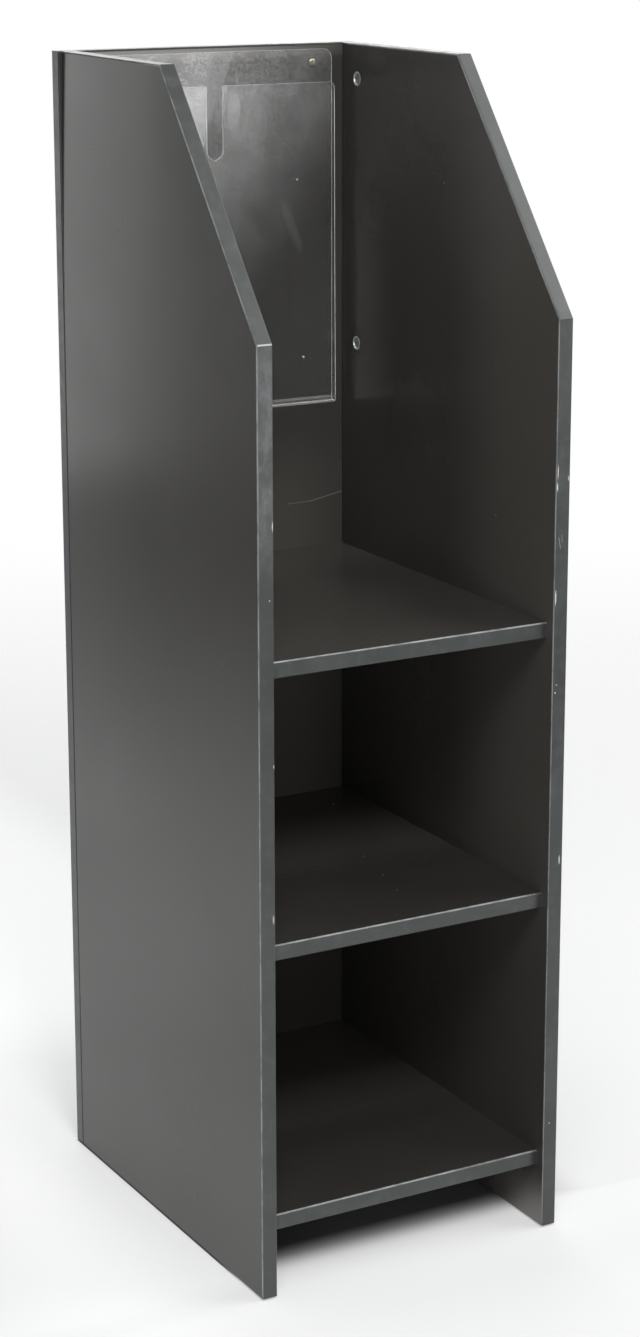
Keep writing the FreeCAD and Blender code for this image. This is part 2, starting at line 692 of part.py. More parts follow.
def make_back_joint(cam, bolt, dowel):
    """Cams in the side panels, bolts in the back panel and dowels between them."""
    bolts, dowels = [], []
    cam_y = f"({BACK_FACE_Y} - cam_setback)"
    for side, sign in SIDES.items():
        face_x = f"({sign} * {INNER_WIDTH} / 2)"
        middle_x = f"({sign} * (rack_width / 2 - {HALF_BOARD}))"
        turn = axes((0, 1, 0), (-sign, 0, 0))
        for level, height in BACK_CAMS.items():
            spot = (face_x, cam_y, height)
            node(copy_of(cam, f"back_cam_{level}_{side}", spot, turn), f"back_cam_{level}_{side}")
            bolts.append(copy_of(bolt, "back_bolt", spot, turn))
        for height in BACK_DOWELS:
            dowels.append(copy_of(dowel, "back_dowel", (middle_x, BACK_FACE_Y, height), turn))
    group("back_joint_bolts", bolts)
    group("back_joint_dowels", dowels)


def make_shelf_joint(shelf, top, cam, bolt, dowel):
    """Cams in a shelf's underside, bolts in the side panels, and dowels at three edges."""
    bolts, dowels = [], []
    middle_z = f"({top} - {HALF_BOARD})"
    underside = f"({top} - board_thickness)"
    for side, sign in SIDES.items():
        turn = axes((sign, 0, 0), (0, 0, -1))
        for end, distance in SHELF_CAMS.items():
            spot = (f"({sign} * ({INNER_WIDTH} / 2 - cam_setback))",
                    f"({FRONT_Y} + shelf_recess + {distance})", underside)
            label = f"{shelf}_cam_{end}_{side}"
            node(copy_of(cam, label, spot, turn), label)
            bolts.append(copy_of(bolt, f"{shelf}_bolt", spot, turn))
        for distance in SHELF_DOWELS.values():
            spot = (f"({sign} * {INNER_WIDTH} / 2)", f"({FRONT_Y} + shelf_recess + {distance})", middle_z)
            dowels.append(copy_of(dowel, f"{shelf}_dowel", spot, turn))
        spot = (f"({sign} * {BACK_DOWEL_SPREAD})", BACK_FACE_Y, middle_z)
        dowels.append(copy_of(dowel, f"{shelf}_dowel", spot, axes((0, 1, 0), (0, 0, 1))))
    group(f"{shelf}_bolts", bolts)
    group(f"{shelf}_dowels", dowels)


def make_glides(glide):
    """Four glides under the ends of the side panels."""
    for side, sign in SIDES.items():
        x = f"({sign} * (rack_width / 2 - {HALF_BOARD}))"
        for end, y in (("front", "glide_inset"), ("rear", "(side_depth - glide_inset)")):
            label = f"glide_{end}_{side}"
            node(copy_of(glide, label, (x, f"({FRONT_Y} + {y})", 0)), label)


def make_pocket_screws(screw):
    """Two screws through the backing plate's upper corners."""
    forward = axes((1, 0, 0), (0, -1, 0))
    for side, sign in SIDES.items():
        spot = (f"({sign} * {SCREW_SPREAD})", f"({BACK_FACE_Y} - sheet_thickness)",
                f"({POCKET_BASE} + {SCREW_HEIGHT})")
        label = f"pocket_screw_{side}"
        node(copy_of(screw, label, spot, forward), label)


# ---------------------------------------------------------------- assembly


def check():
    """Stop unless every object is sound and every node has a valid shape."""
    for item in doc.Objects:
        if {"Invalid", "Error"} & set(item.State):
            raise RuntimeError(f"{item.Name} is {item.State}")
    for item in nodes:
        shape = Part.getShape(item)
        if shape.isNull() or not shape.isValid() or not shape.Solids:
            raise RuntimeError(f"{item.Label} has no valid shape")


def write():
    """One STEP file for each node."""
    os.makedirs("parts", exist_ok=True)
    for item in nodes:
        Part.getShape(item).exportStep(os.path.join("parts", f"{item.Label}.step"))


sheet = make_sheet()
for side_name, side_sign in SIDES.items():
    make_side_panel(side_name, side_sign)
    make_side_bands(side_name, side_sign)
make_back_panel()
make_back_bands()
for shelf_name, shelf_top in SHELVES.items():
    make_shelf(shelf_name, shelf_top)
    make_shelf_band(shelf_name, shelf_top)
make_sign_pocket()

cam_pattern = make_cam()
bolt_pattern = make_cam_bolt()
dowel_pattern = make_dowel()
make_back_joint(cam_pattern, bolt_pattern, dowel_pattern)
for shelf_name, shelf_top in SHELVES.items():
    make_shelf_joint(shelf_name, shelf_top, cam_pattern, bolt_pattern, dowel_pattern)
make_glides(make_glide())
make_pocket_screws(make_pocket_screw())

doc.recompute()
check()
write()
print(f"{len(nodes)} nodes written")
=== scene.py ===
"""Dresses the periodical display rack: materials, wear, a clear sign pocket, light and camera.

Metres, in the rack's own frame: +Z up, the open front towards -Y, the origin on the
floor at the centre of the footprint. Object texture coordinates are the same metres.
"""

import json
import math

import bmesh
import bpy
from mathutils import Euler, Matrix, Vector


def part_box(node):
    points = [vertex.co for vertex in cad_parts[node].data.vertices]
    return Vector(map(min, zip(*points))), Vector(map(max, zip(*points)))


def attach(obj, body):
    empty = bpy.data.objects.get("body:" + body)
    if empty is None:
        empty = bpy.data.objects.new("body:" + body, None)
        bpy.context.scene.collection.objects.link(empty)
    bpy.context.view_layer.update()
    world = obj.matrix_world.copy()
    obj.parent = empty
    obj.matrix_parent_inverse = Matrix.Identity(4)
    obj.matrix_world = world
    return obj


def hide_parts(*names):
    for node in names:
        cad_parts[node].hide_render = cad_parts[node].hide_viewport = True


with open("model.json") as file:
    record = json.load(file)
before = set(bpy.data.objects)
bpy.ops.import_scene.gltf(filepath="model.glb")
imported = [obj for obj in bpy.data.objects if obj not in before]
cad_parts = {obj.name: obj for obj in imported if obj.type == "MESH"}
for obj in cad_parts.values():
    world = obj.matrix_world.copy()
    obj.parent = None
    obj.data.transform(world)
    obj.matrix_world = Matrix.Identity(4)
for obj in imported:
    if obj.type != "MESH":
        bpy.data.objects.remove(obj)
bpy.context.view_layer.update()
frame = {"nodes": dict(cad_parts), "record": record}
nodes = frame["nodes"]
slot_of = {part["node"]: part["material_slot"] for part in frame["record"]["subparts"]}

INNER_X = 0.155            # inner faces of the side panels
EDGE_MIDDLE_X = 0.163      # middle of a side panel's front edge
BACK_FACE_Y = 0.201        # front face of the back panel
SHELF_TOPS_Z = (0.082, 0.362, 0.642)


# ---------------------------------------------------------------- shader helpers


class Nodes:
    """A node tree, with one short call for each kind of node used here."""

    def __init__(self, tree):
        self.tree = tree

    def node(self, kind, **settings):
        made = self.tree.nodes.new(kind)
        for key, value in settings.items():
            setattr(made, key, value)
        return made

    def feed(self, socket, value):
        """Link an output to a socket, or write a plain value in it."""
        if isinstance(value, bpy.types.NodeSocket):
            self.tree.links.new(value, socket)
        elif isinstance(value, (tuple, list)) and len(value) == 3 and socket.type == "RGBA":
            socket.default_value = (*value, 1)
        else:
            socket.default_value = value

    def feed_all(self, made, values, output=0):
        """Feed a node's inputs in their order, and return one of its outputs."""
        for socket, value in zip(made.inputs, values):
            self.feed(socket, value)
        return made.outputs[output]

    def math(self, operation, *values, clamp=False):
        made = self.node("ShaderNodeMath", operation=operation, use_clamp=clamp)
        return self.feed_all(made, values)

    def chain(self, operation, values, clamp=False):
        total, *others = values
        for value in others:
            total = self.math(operation, total, value, clamp=clamp)
        return total

    def sum(self, *values):
        """A sum that stays between 0 and 1."""
        return self.chain("ADD", values, clamp=True)

    def product(self, *values):
        return self.chain("MULTIPLY", values)

    def largest(self, *values):
        return self.chain("MAXIMUM", values)

    def size(self, value):
        return self.math("ABSOLUTE", value)

    def off(self, value, middle):
        """How far a value is from another."""
        return self.size(self.math("SUBTRACT", value, middle))

    def vector(self, operation, *values, output=0):
        made = self.node("ShaderNodeVectorMath", operation=operation)
        return self.feed_all(made, values, output)

    def split(self, vector):
        """The X, Y and Z of a vector, by name."""
        made = self.node("ShaderNodeSeparateXYZ")
        self.feed(made.inputs[0], vector)
        return {name: made.outputs[name] for name in "XYZ"}

    def band(self, value, start, end, low=0.0, high=1.0):
        """Smoothly from low at start to high at end."""
        made = self.node("ShaderNodeMapRange", interpolation_type="SMOOTHSTEP")
        return self.feed_all(made, (value, start, end, low, high))


class Shader(Nodes):
    """A material. Its scales are per metre, and its places and sizes are metres on the rack."""

    def __init__(self, name):
        self.material = bpy.data.materials.new(name)
        self.material.use_nodes = True
        super().__init__(self.material.node_tree)
        self.surface = self.tree.nodes["Principled BSDF"]
        self.output = self.tree.nodes["Material Output"]
        source = self.node("ShaderNodeTexCoord")
        self.place, self.normal = source.outputs["Object"], source.outputs["Normal"]
        self.along = self.split(self.place)

    def ramps(self, rows, *factors):
        """Factors times a band for each row: an axis, and the numbers that band takes."""
        return self.product(*factors, *(self.band(self.along[axis], *row) for axis, *row in rows))

    def noise(self, scale, detail=2.0, rough=0.5, stretch=None, offset=0.0):
        """Noise between 0 and 1. stretch scales the three axes apart."""
        place = self.place
        if stretch:
            place = self.vector("MULTIPLY", place, stretch)
        if offset:
            place = self.vector("ADD", place, (offset, 2.7 * offset, -1.3 * offset))
        made = self.node("ShaderNodeTexNoise")
        self.feed(made.inputs["Vector"], place)
        made.inputs["Scale"].default_value = scale
        made.inputs["Detail"].default_value = detail
        made.inputs["Roughness"].default_value = rough
        return made.outputs[0]

    def specks(self, spacing, size, share):
        """Scattered round specks in a share of the cells."""
        made = self.node("ShaderNodeTexVoronoi")
        self.feed(made.inputs["Vector"], self.place)
        made.inputs["Scale"].default_value = 1 / spacing
        chance = self.split(made.outputs["Color"])["X"]
        dot = self.band(made.outputs["Distance"], size / spacing, 0.4 * size / spacing)
        return self.product(dot, self.math("LESS_THAN", chance, share))

    def mix(self, factor, first, second):
        """Blend two colours."""
        made = self.node("ShaderNodeMix", data_type="RGBA")
        self.feed(made.inputs[0], factor)
        self.feed(made.inputs[6], first)
        self.feed(made.inputs[7], second)
        return made.outputs[2]

    def spots(self, rows):
        """Ellipsoid marks with outlines that noise makes ragged: centre, radii and strength."""
        ragged = self.math("MULTIPLY_ADD", self.noise(scale=1100, detail=2, rough=0.7), 1.2, -0.6)
        marks = []
        for centre, radii, strength in rows:
            scaled = self.vector("DIVIDE", self.vector("SUBTRACT", self.place, centre), radii)
            reach = self.math("ADD", self.vector("LENGTH", scaled, output=1), ragged)
            marks.append(self.band(reach, 1.0, 0.6, 0.0, strength))
        return marks

    def streaks(self, rows):
        """Thin straight marks: their ends, width and strength."""
        marks = []
        for start, end, width, strength in rows:
            line = Vector(end) - Vector(start)
            from_start = self.vector("SUBTRACT", self.place, start)
            reach = self.vector("DOT_PRODUCT", from_start, tuple(line), output=1)
            share = self.math("DIVIDE", reach, line.length_squared, clamp=True)
            nearest = self.node("ShaderNodeVectorMath", operation="SCALE")
            self.feed(nearest.inputs[0], tuple(line))
            self.feed(nearest.inputs["Scale"], share)
            away = self.vector("SUBTRACT", from_start, nearest.outputs[0])
            gap = self.vector("LENGTH", away, output=1)
            marks.append(self.band(gap, width / 2, width / 6, 0.0, strength))
        return marks

    def bump(self, height, distance, strength):
        made = self.node("ShaderNodeBump")
        made.inputs["Strength"].default_value = strength
        made.inputs["Distance"].default_value = distance
        self.feed(made.inputs["Height"], height)
        return made.outputs[0]

    def set(self, **values):
        """Principled inputs, with _ for a blank in their names."""
        for name, value in values.items():
            self.feed(self.surface.inputs[name.replace("_", " ")], value)
        return self.material

    def let_through(self, share, colour=(1, 1, 1)):
        """Let a share of the light go straight through the surface."""
        clear = self.node("ShaderNodeBsdfTransparent")
        self.feed(clear.inputs[0], colour)
        blend = self.node("ShaderNodeMixShader")
        mixed = self.feed_all(blend, (share, self.surface.outputs[0], clear.outputs[0]))
        self.feed(self.output.inputs["Surface"], mixed)
        return self.material


# ---------------------------------------------------------------- wear, and painted light and shade


# Masks: the ramps that each is a product of, with the axis, the places where a ramp starts
# and ends, and its values there where they aren't 0 and 1.
# Painted fill light: the inner sides lighter towards the front and higher up, the back panel's
# front lighter from 0.3 to 0.68 m up and least at its right end, the shelves lighter towards the
# rear and the top shelf towards the left.
PAINTED_LIGHT_INNER_SIDES = (("Y", 0.0, -0.14, 0.0, 0.10), ("Z", 0.1, 0.45, 0.3, 1.0))
PAINTED_LIGHT_BACK = (("Y", 0.2005, 0.2009), ("Y", 0.2030, 0.2015), ("Z", 0.80, 0.68), ("Z", 0.20, 0.30),
              ("X", 0.160, 0.08, 0.04, 0.11))
PAINTED_LIGHT_LOW_SHELVES = (("Z", 0.5, 0.4), ("Y", -0.08, 0.06, 0.0, 0.16))
ABOVE_LOW_SHELVES = (("Z", 0.5, 0.6),)
PAINTED_LIGHT_TOP_SHELF_LEFT = (("X", 0.11, 0.02, 0.0, 0.06),)
PAINTED_LIGHT_TOP_SHELF_REAR = (("Y", 0.06, 0.18, 0.0, 0.08),)
# Painted highlight: a pale glare along the back panel's top front, strongest at its left.
GLARE_BACK_TOP = (("Z", 1.162, 1.174), ("Y", 0.2005, 0.2009), ("X", -0.02, 0.155, 0.62, 0.1),
                   ("X", -0.156, -0.155))
# Painted reflection of the lit floor: pale on the right foot's inner face, low at its front.
FLOOR_REFLECTION_RIGHT_FOOT = (("Z", 0.070, 0.0), ("Y", -0.10, -0.205), ("X", 0.1545, 0.1549, 0.0, 0.5),
                     ("X", 0.1600, 0.1590))
RUBBED_FRONT = (("Z", 0.70, 0.80), ("Z", 0.955, 0.93), ("X", 0.0, 0.01, 1.0, 0.25),
                ("Y", -0.2155, -0.2165))
AHEAD_OF_BACK = (("Y", 0.195, 0.190),)
# Darker at the right ends of the shelf edges.
DARKER_SHELF_END = (("X", 0.1455, 0.152, 0.0, 0.6),)
# Painted highlight: the back panel's left edge strip, on its outer side, paler and bluer.
HIGHLIT_REAR_STRIP = (("Y", 0.2020, 0.2032), ("X", -0.1695, -0.1705))
# Painted shade on the edging at the back panel's front face, where the sides' rear edges meet it.
SHADED_REAR_JOINT = (("Y", 0.2024, 0.2012), ("Y", 0.1965, 0.1985, 0.0, 0.85))
SCUFFED_PLATES = (("Y", 0.1960, 0.1965, 0.06, 0.27),)      # the front plate, and the backing

# Marks seen in the photograph: ends, width and strength, or centre, radii and strength.
BOARD_SCRATCHES = (
    ((0.087, 0.201, 0.6917), (0.115, 0.201, 0.6920), 0.0017, 0.16),
    ((0.115, 0.201, 0.6920), (0.154, 0.201, 0.6990), 0.0017, 0.26),
)
BOARD_MARKS = (
    ((0.1146, 0.148, 0.362), (0.0011, 0.0011, 0.001), 0.8),
    ((0.0552, -0.020, 0.362), (0.0011, 0.0011, 0.001), 0.6),
    ((0.0432, -0.081, 0.362), (0.0011, 0.0011, 0.001), 0.6),
    ((0.0324, -0.127, 0.362), (0.0011, 0.0011, 0.001), 0.6),
    ((0.155, -0.005, 1.052), (0.001, 0.0012, 0.001), 0.3),
    ((0.155, -0.110, 0.7315), (0.001, 0.0012, 0.001), 0.3),
)
SHEET_SMEARS = (
    ((0.081, 0.193, 1.013), (0.098, 0.193, 0.971), 0.015, 0.011),
    ((0.036, 0.193, 1.000), (0.053, 0.193, 0.974), 0.013, 0.009),
)
SHEET_MARKS = (
    ((0.1024, 0.192, 0.8523), (0.0012, 0.003, 0.0012), 0.9),
    ((0.0962, 0.193, 1.0403), (0.0009, 0.003, 0.0009), 0.7),
    ((0.0225, 0.194, 1.1150), (0.009, 0.006, 0.026), 0.05),
)
EDGE_CHIPS = (
    ((-0.1560, -0.2165, 0.7745), (0.0009, 0.0016, 0.0060), 0.8),
    ((-0.1596, -0.2170, 0.7048), (0.0009, 0.0012, 0.0010), 0.7),
    ((-0.1558, -0.2165, 0.5446), (0.0010, 0.0016, 0.0022), 0.8),
    ((-0.1572, -0.2170, 0.3933), (0.0010, 0.0012, 0.0050), 0.5),
    ((0.1567, -0.2168, 0.7940), (0.0007, 0.0014, 0.0090), 0.7),
    ((0.1563, -0.2168, 0.7790), (0.0008, 0.0014, 0.0050), 0.8),
    ((0.1690, -0.2170, 0.7870), (0.0007, 0.0014, 0.0030), 0.7),
    ((0.1567, -0.2168, 0.6690), (0.0008, 0.0014, 0.0090), 0.9),
    ((0.1598, -0.2170, 0.5805), (0.0008, 0.0010, 0.0008), 0.9),
    ((0.1582, -0.2170, 0.5726), (0.0009, 0.0010, 0.0009), 0.9),
    ((0.1670, -0.2170, 0.3980), (0.0008, 0.0012, 0.0055), 0.8),
    ((0.1613, -0.2170, 0.1153), (0.0009, 0.0010, 0.0009), 0.8),
)
EDGE_SCRATCHES_AND_GLINT = (
    # The left mitre's line is a painted highlight; the two rows below are scratches.
    ((-0.1706, -0.217, 0.9422), (-0.1556, -0.217, 0.9422), 0.0024, 0.60),     # the left mitre
    ((0.1590, -0.217, 0.7290), (0.1612, -0.217, 0.7180), 0.0009, 0.35),
    ((0.1625, -0.217, 0.7310), (0.1630, -0.217, 0.7240), 0.0008, 0.30),
)


# ---------------------------------------------------------------- materials


# Colours are linear. A pair is what a material's noise blends.
CHARCOAL = (0.0295, 0.0278, 0.0250), (0.0340, 0.0322, 0.0292)
CHARCOAL_GRAIN = (0.046, 0.043, 0.038)
# Pale colour of the painted fill light in the bays.
PAINTED_LIGHT_FILM = (0.30, 0.277, 0.250)
# Pale colour of the board's marks, and of its painted highlight and painted floor reflection.
SCUFF_AND_HIGHLIGHT = (0.30, 0.29, 0.27)
EDGING = (0.035, 0.0385, 0.038), (0.045, 0.049, 0.0485)
EDGING_MOTTLE = (0.11, 0.12, 0.12)
RUBBED_EDGING = (0.24, 0.25, 0.25)
# Pale arris colour: wear, and painted highlight.
WORN_AND_HIGHLIT_ARRIS = (0.40, 0.42, 0.42)
# Paler bluish colour of the painted highlight on the back panel's left strip.
REAR_STRIP = (0.14, 0.148, 0.16)
# Dark colour of the painted shade in the rear joints, and of the darker shelf-edge ends.
DARK_AND_SHADE_TONE = (0.016, 0.017, 0.016)
# Pale colour of chips and scratches, and of the painted highlight on the left mitre.
CHIPPED_EDGING_AND_GLINT = (0.62, 0.61, 0.58)
BEECH = (0.62, 0.46, 0.29), (0.45, 0.30, 0.17)
BLACK_NYLON = (0.018, 0.018, 0.018), (0.035, 0.035, 0.034)
CUT_PLASTIC = (0.80, 0.82, 0.83), (0.96, 0.97, 0.97)
CLEAR_PLASTIC = (0.93, 0.93, 0.93)
PLASTIC_SHADOW = (0.91, 0.91, 0.91)

FACING = (0.6, 0.9)        # of a normal's part along an axis, from side-on to face-on
ARRIS = (0.0072, 0.0080)   # from the middle of a side panel's 16 mm edge
SHELF_ARRIS = (0.0014, 0.0004)
GRAIN_SHARE = 0.2          # how much of a grain's or mottle's colour shows
RUBBED_SHARE = 0.5
REAR_STRIP_SHARE = 0.3
# Also added at the board's painted highlight and painted floor reflection.
MARK_ROUGHNESS = 0.3       # added where a board is marked
METAL_ROUGHNESS = 0.12     # added in the grain's rough parts

# The sheet's haze: most at its upper left, and it clears downwards and to the right.
SCUFFED_Z = 1.175
CLEARING_DOWN = 3.0        # per metre
CLEARING_RIGHT = 3.5       # per metre
SCUFF_POWER = 1.6
SCUFF_HAZE = 0.85
LEAST_HAZE = 0.003
# Painted highlight: the margin strip is hazed pale so that the sheet's edges show as bright lines.
MARGIN_HIGHLIGHT_HAZE = 0.85
# Painted highlights along the fold: a pale line at the bent foot and a fainter one at the crease
# above it.
BENT_FOOT_Z = (0.8022, 0.8008)
BENT_FOOT_HIGHLIGHT = 0.35
CREASE_Z = 0.8068
CREASE = (0.0008, 0.0002)
CREASE_HIGHLIGHT = 0.12


def make_board():
    """Charcoal melamine: smooth satin foil, with handling smudges, dust specks and a few scratches,
    painted fill light in the bays, a painted highlight along the back panel's top and a painted
    floor reflection inside the right foot.
    """
    s = Shader("charcoal_melamine")
    cloud = s.noise(scale=5, detail=3)
    grain = s.noise(scale=700, detail=1)
    smudge = s.noise(scale=7, detail=2, offset=3.1)
    tone = s.mix(s.band(cloud, 0.35, 0.65), *CHARCOAL)
    tone = s.mix(s.product(grain, GRAIN_SHARE), tone, CHARCOAL_GRAIN)

    facing = s.split(s.normal)
    facing_up = s.band(facing["Z"], *FACING)
    facing_in = s.product(s.band(s.size(facing["X"]), *FACING),
                          s.band(s.size(s.along["X"]), INNER_X + 0.003, INNER_X + 0.001))
    # Painted fill light, blended in with the pale film colour.
    top_shelf = s.sum(s.ramps(PAINTED_LIGHT_TOP_SHELF_LEFT), s.ramps(PAINTED_LIGHT_TOP_SHELF_REAR))
    painted_light = s.sum(s.ramps(PAINTED_LIGHT_INNER_SIDES, facing_in), s.ramps(PAINTED_LIGHT_BACK),
                 s.ramps(PAINTED_LIGHT_LOW_SHELVES, facing_up),
                 s.product(s.ramps(ABOVE_LOW_SHELVES, facing_up), top_shelf))
    tone = s.mix(painted_light, tone, PAINTED_LIGHT_FILM)

    dust = s.product(s.specks(spacing=0.021, size=0.0006, share=0.2), facing_up)
    # Pale marks: dust specks, scratches and spots, with the painted highlight at the back panel's
    # top and the painted floor reflection inside the right foot.
    marks = s.sum(dust, s.ramps(GLARE_BACK_TOP), s.ramps(FLOOR_REFLECTION_RIGHT_FOOT),
                  *s.streaks(BOARD_SCRATCHES), *s.spots(BOARD_MARKS))
    roughness = s.sum(s.band(smudge, 0.3, 0.7, 0.235, 0.275), s.product(marks, MARK_ROUGHNESS))
    return s.set(Base_Color=s.mix(marks, tone, SCUFF_AND_HIGHLIGHT), Roughness=roughness,
                 Normal=s.bump(grain, distance=0.00003, strength=0.25))


def make_edge_band():
    """ABS edging: mottled grey, pale on its arrises from wear and painted highlight, chipped and
    rubbed at the front, darker at the shelf edges' right ends, with painted shade in the rear
    joints and painted highlights on the back panel's left strip and the left mitre.
    """
    s = Shader("edge_band")
    grain = s.noise(scale=700, detail=2)
    cloud = s.noise(scale=14, detail=4)
    mottle = s.noise(scale=75, detail=4, rough=0.65)
    rubbing = s.noise(scale=150, detail=4, rough=0.6, stretch=(1, 1, 0.5))
    wear = s.noise(scale=38, detail=4, rough=0.7, offset=1.7)
    tone = s.mix(s.band(cloud, 0.3, 0.7), *EDGING)
    tone = s.mix(s.product(s.band(mottle, 0.45, 0.75), GRAIN_SHARE), tone, EDGING_MOTTLE)

    # The upper front edges are rubbed, most on the left.
    rubbed = s.product(s.ramps(RUBBED_FRONT), s.band(rubbing, 0.35, 0.75, 0.25, 0.8),
                       RUBBED_SHARE)
    tone = s.mix(rubbed, tone, RUBBED_EDGING)

    # Pale arrises, partly wear and partly painted highlight: side edges show both their arrises,
    # and shelf edges only the upper one.
    off_centre = s.size(s.along["X"])
    on_shelf = s.band(off_centre, INNER_X + 0.0002, INNER_X - 0.0002)
    side_arris = s.product(s.band(s.off(off_centre, EDGE_MIDDLE_X), *ARRIS),
                           s.ramps(AHEAD_OF_BACK), s.math("SUBTRACT", 1.0, on_shelf))
    shelf_arris = s.sum(*(s.band(s.off(s.along["Z"], z), *SHELF_ARRIS) for z in SHELF_TOPS_Z))
    arris = s.sum(side_arris, s.product(shelf_arris, on_shelf))
    tone = s.mix(s.product(arris, s.band(wear, 0.3, 0.62, 0.2, 0.75)), tone, WORN_AND_HIGHLIT_ARRIS)

    # Painted highlight on the back panel's left edge strip.
    tone = s.mix(s.product(s.ramps(HIGHLIT_REAR_STRIP), REAR_STRIP_SHARE), tone, REAR_STRIP)
    # Painted shade in the rear joints, and darker shelf-edge ends.
    dark_and_shaded = s.sum(s.ramps(DARKER_SHELF_END, on_shelf), s.ramps(SHADED_REAR_JOINT))
    tone = s.mix(dark_and_shaded, tone, DARK_AND_SHADE_TONE)
    # Chips and scratches, with the painted highlight on the left mitre.
    chips_and_glint = s.sum(*s.spots(EDGE_CHIPS), *s.streaks(EDGE_SCRATCHES_AND_GLINT))
    return s.set(Base_Color=s.mix(chips_and_glint, tone, CHIPPED_EDGING_AND_GLINT),
                 Roughness=s.band(mottle, 0.3, 0.7, 0.30, 0.42),
                 Normal=s.bump(grain, distance=0.00006, strength=0.3))


def make_metal(name, colour, roughness, metallic=1.0, grain=1800, fall=0.8):
    """Cast or turned metal. fall is how dark the grain's dark parts are."""
    s = Shader(name)
    cast = s.noise(grain, detail=3)
    tone = s.mix(s.band(cast, 0.35, 0.65), colour, tuple(fall * c for c in colour))
    return s.set(Base_Color=tone, Metallic=metallic,
                 Roughness=s.band(cast, 0.3, 0.7, roughness, roughness + METAL_ROUGHNESS),
                 Normal=s.bump(cast, distance=0.00008, strength=0.4))


def make_dowel_wood():
    s = Shader("beech")
    grain = s.noise(scale=260, detail=4, stretch=(0.08, 1, 1))
    return s.set(Base_Color=s.mix(grain, *BEECH), Roughness=0.6,
                 Normal=s.bump(grain, distance=0.0001, strength=0.5))


def make_nylon():
    s = Shader("black_nylon")
    grain = s.noise(scale=900)
    return s.set(Base_Color=s.mix(grain, *BLACK_NYLON), Roughness=0.5,
                 Normal=s.bump(grain, distance=0.00006, strength=0.4))


def make_clear_sheet(name, least_haze):
    """Clear sheet, hazed by fine scuffs, with painted highlights along its fold. Lamps shine
    through it on what is behind.
    """
    s = Shader(name)
    height = s.along["Z"]
    cloud = s.noise(scale=30, detail=4, rough=0.6)
    mottle = s.noise(scale=330, detail=4, rough=0.65)

    clear = s.sum(s.product(s.math("SUBTRACT", SCUFFED_Z, height), CLEARING_DOWN),
                  s.product(s.along["X"], CLEARING_RIGHT))
    scuffed = s.product(s.math("POWER", s.math("SUBTRACT", 1.0, clear), SCUFF_POWER), SCUFF_HAZE,
                        s.band(cloud, 0.3, 0.7, 0.7, 1.2), s.ramps(SCUFFED_PLATES))
    haze = s.product(s.math("ADD", scuffed, least_haze), s.band(mottle, 0.36, 0.64, 0.72, 1.28))
    # Painted highlights along the fold, then smears and marks.
    haze = s.sum(haze, s.product(s.band(height, *BENT_FOOT_Z), BENT_FOOT_HIGHLIGHT),
                 s.product(s.band(s.off(height, CREASE_Z), *CREASE), CREASE_HIGHLIGHT),
                 *s.streaks(SHEET_SMEARS), *s.spots(SHEET_MARKS))
    s.set(Base_Color=CLEAR_PLASTIC, IOR=1.49, Specular_IOR_Level=0.02, Roughness=0.04,
          Coat_Weight=s.band(mottle, 0.36, 0.64, 0.08, 0.24),
          Coat_Roughness=s.band(mottle, 0.3, 0.7, 0.18, 0.26),
          Transmission_Weight=s.math("SUBTRACT", 1.0, haze),
          Normal=s.bump(mottle, distance=0.00002, strength=0.25))
    return s.let_through(s.node("ShaderNodeLightPath").outputs["Is Shadow Ray"], PLASTIC_SHADOW)


def make_cut_edge():
    """The sheet's cut and scuffed edge, which gathers the light."""
    s = Shader("clear_sheet_edge")
    scuff = s.noise(scale=420, detail=3)
    return s.set(Base_Color=s.mix(scuff, *CUT_PLASTIC), Roughness=0.35,
                 Transmission_Weight=s.band(scuff, 0.3, 0.7, 0.0, 0.25),
                 Normal=s.bump(scuff, distance=0.0001, strength=0.5))


MATERIALS = {
    "board": make_board(),
    "edge_band": make_edge_band(),
    "clear_sheet": make_clear_sheet("clear_sheet", LEAST_HAZE),
    "zinc": make_metal("zinc", (0.84, 0.89, 0.85), 0.36, metallic=0.65, grain=420, fall=0.35),
    "steel": make_metal("steel", (0.56, 0.56, 0.55), 0.25),
    "dowel_wood": make_dowel_wood(),
    "glide": make_nylon(),
    "screw_brass": make_metal("brass", (0.92, 0.86, 0.74), 0.24),
}
for node_name, slot_name in slot_of.items():
    for slot in nodes[node_name].material_slots:
        slot.material = MATERIALS[slot_name]


# ---------------------------------------------------------------- mesh helpers


def cut(form, planes):
    """Cut all of a form's faces along planes, each given by a point and a normal."""
    for point, normal in planes:
        bmesh.ops.bisect_plane(form, geom=form.verts[:] + form.edges[:] + form.faces[:],
                               plane_co=point, plane_no=normal, dist=1e-6)


def to_mesh(form, name, *materials):
    mesh = bpy.data.meshes.new(name)
    form.to_mesh(mesh)
    form.free()
    for material in materials:
        mesh.materials.append(material)
    return mesh


def add_piece(name, mesh, replaced, body):
    """Put a mesh in the scene in place of a CAD node, on its body."""
    piece = bpy.data.objects.new(name, mesh)
    bpy.context.scene.collection.objects.link(piece)
    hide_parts(replaced)
    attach(piece, body)
    return piece


def arc(centre, radius, start, end, steps):
    """Points on an arc, its angles in degrees."""
    angles = [math.radians(start + (end - start) * i / steps) for i in range(steps + 1)]
    return [(centre[0] + radius * math.cos(a), centre[1] + radius * math.sin(a)) for a in angles]


# ---------------------------------------------------------------- sign pocket


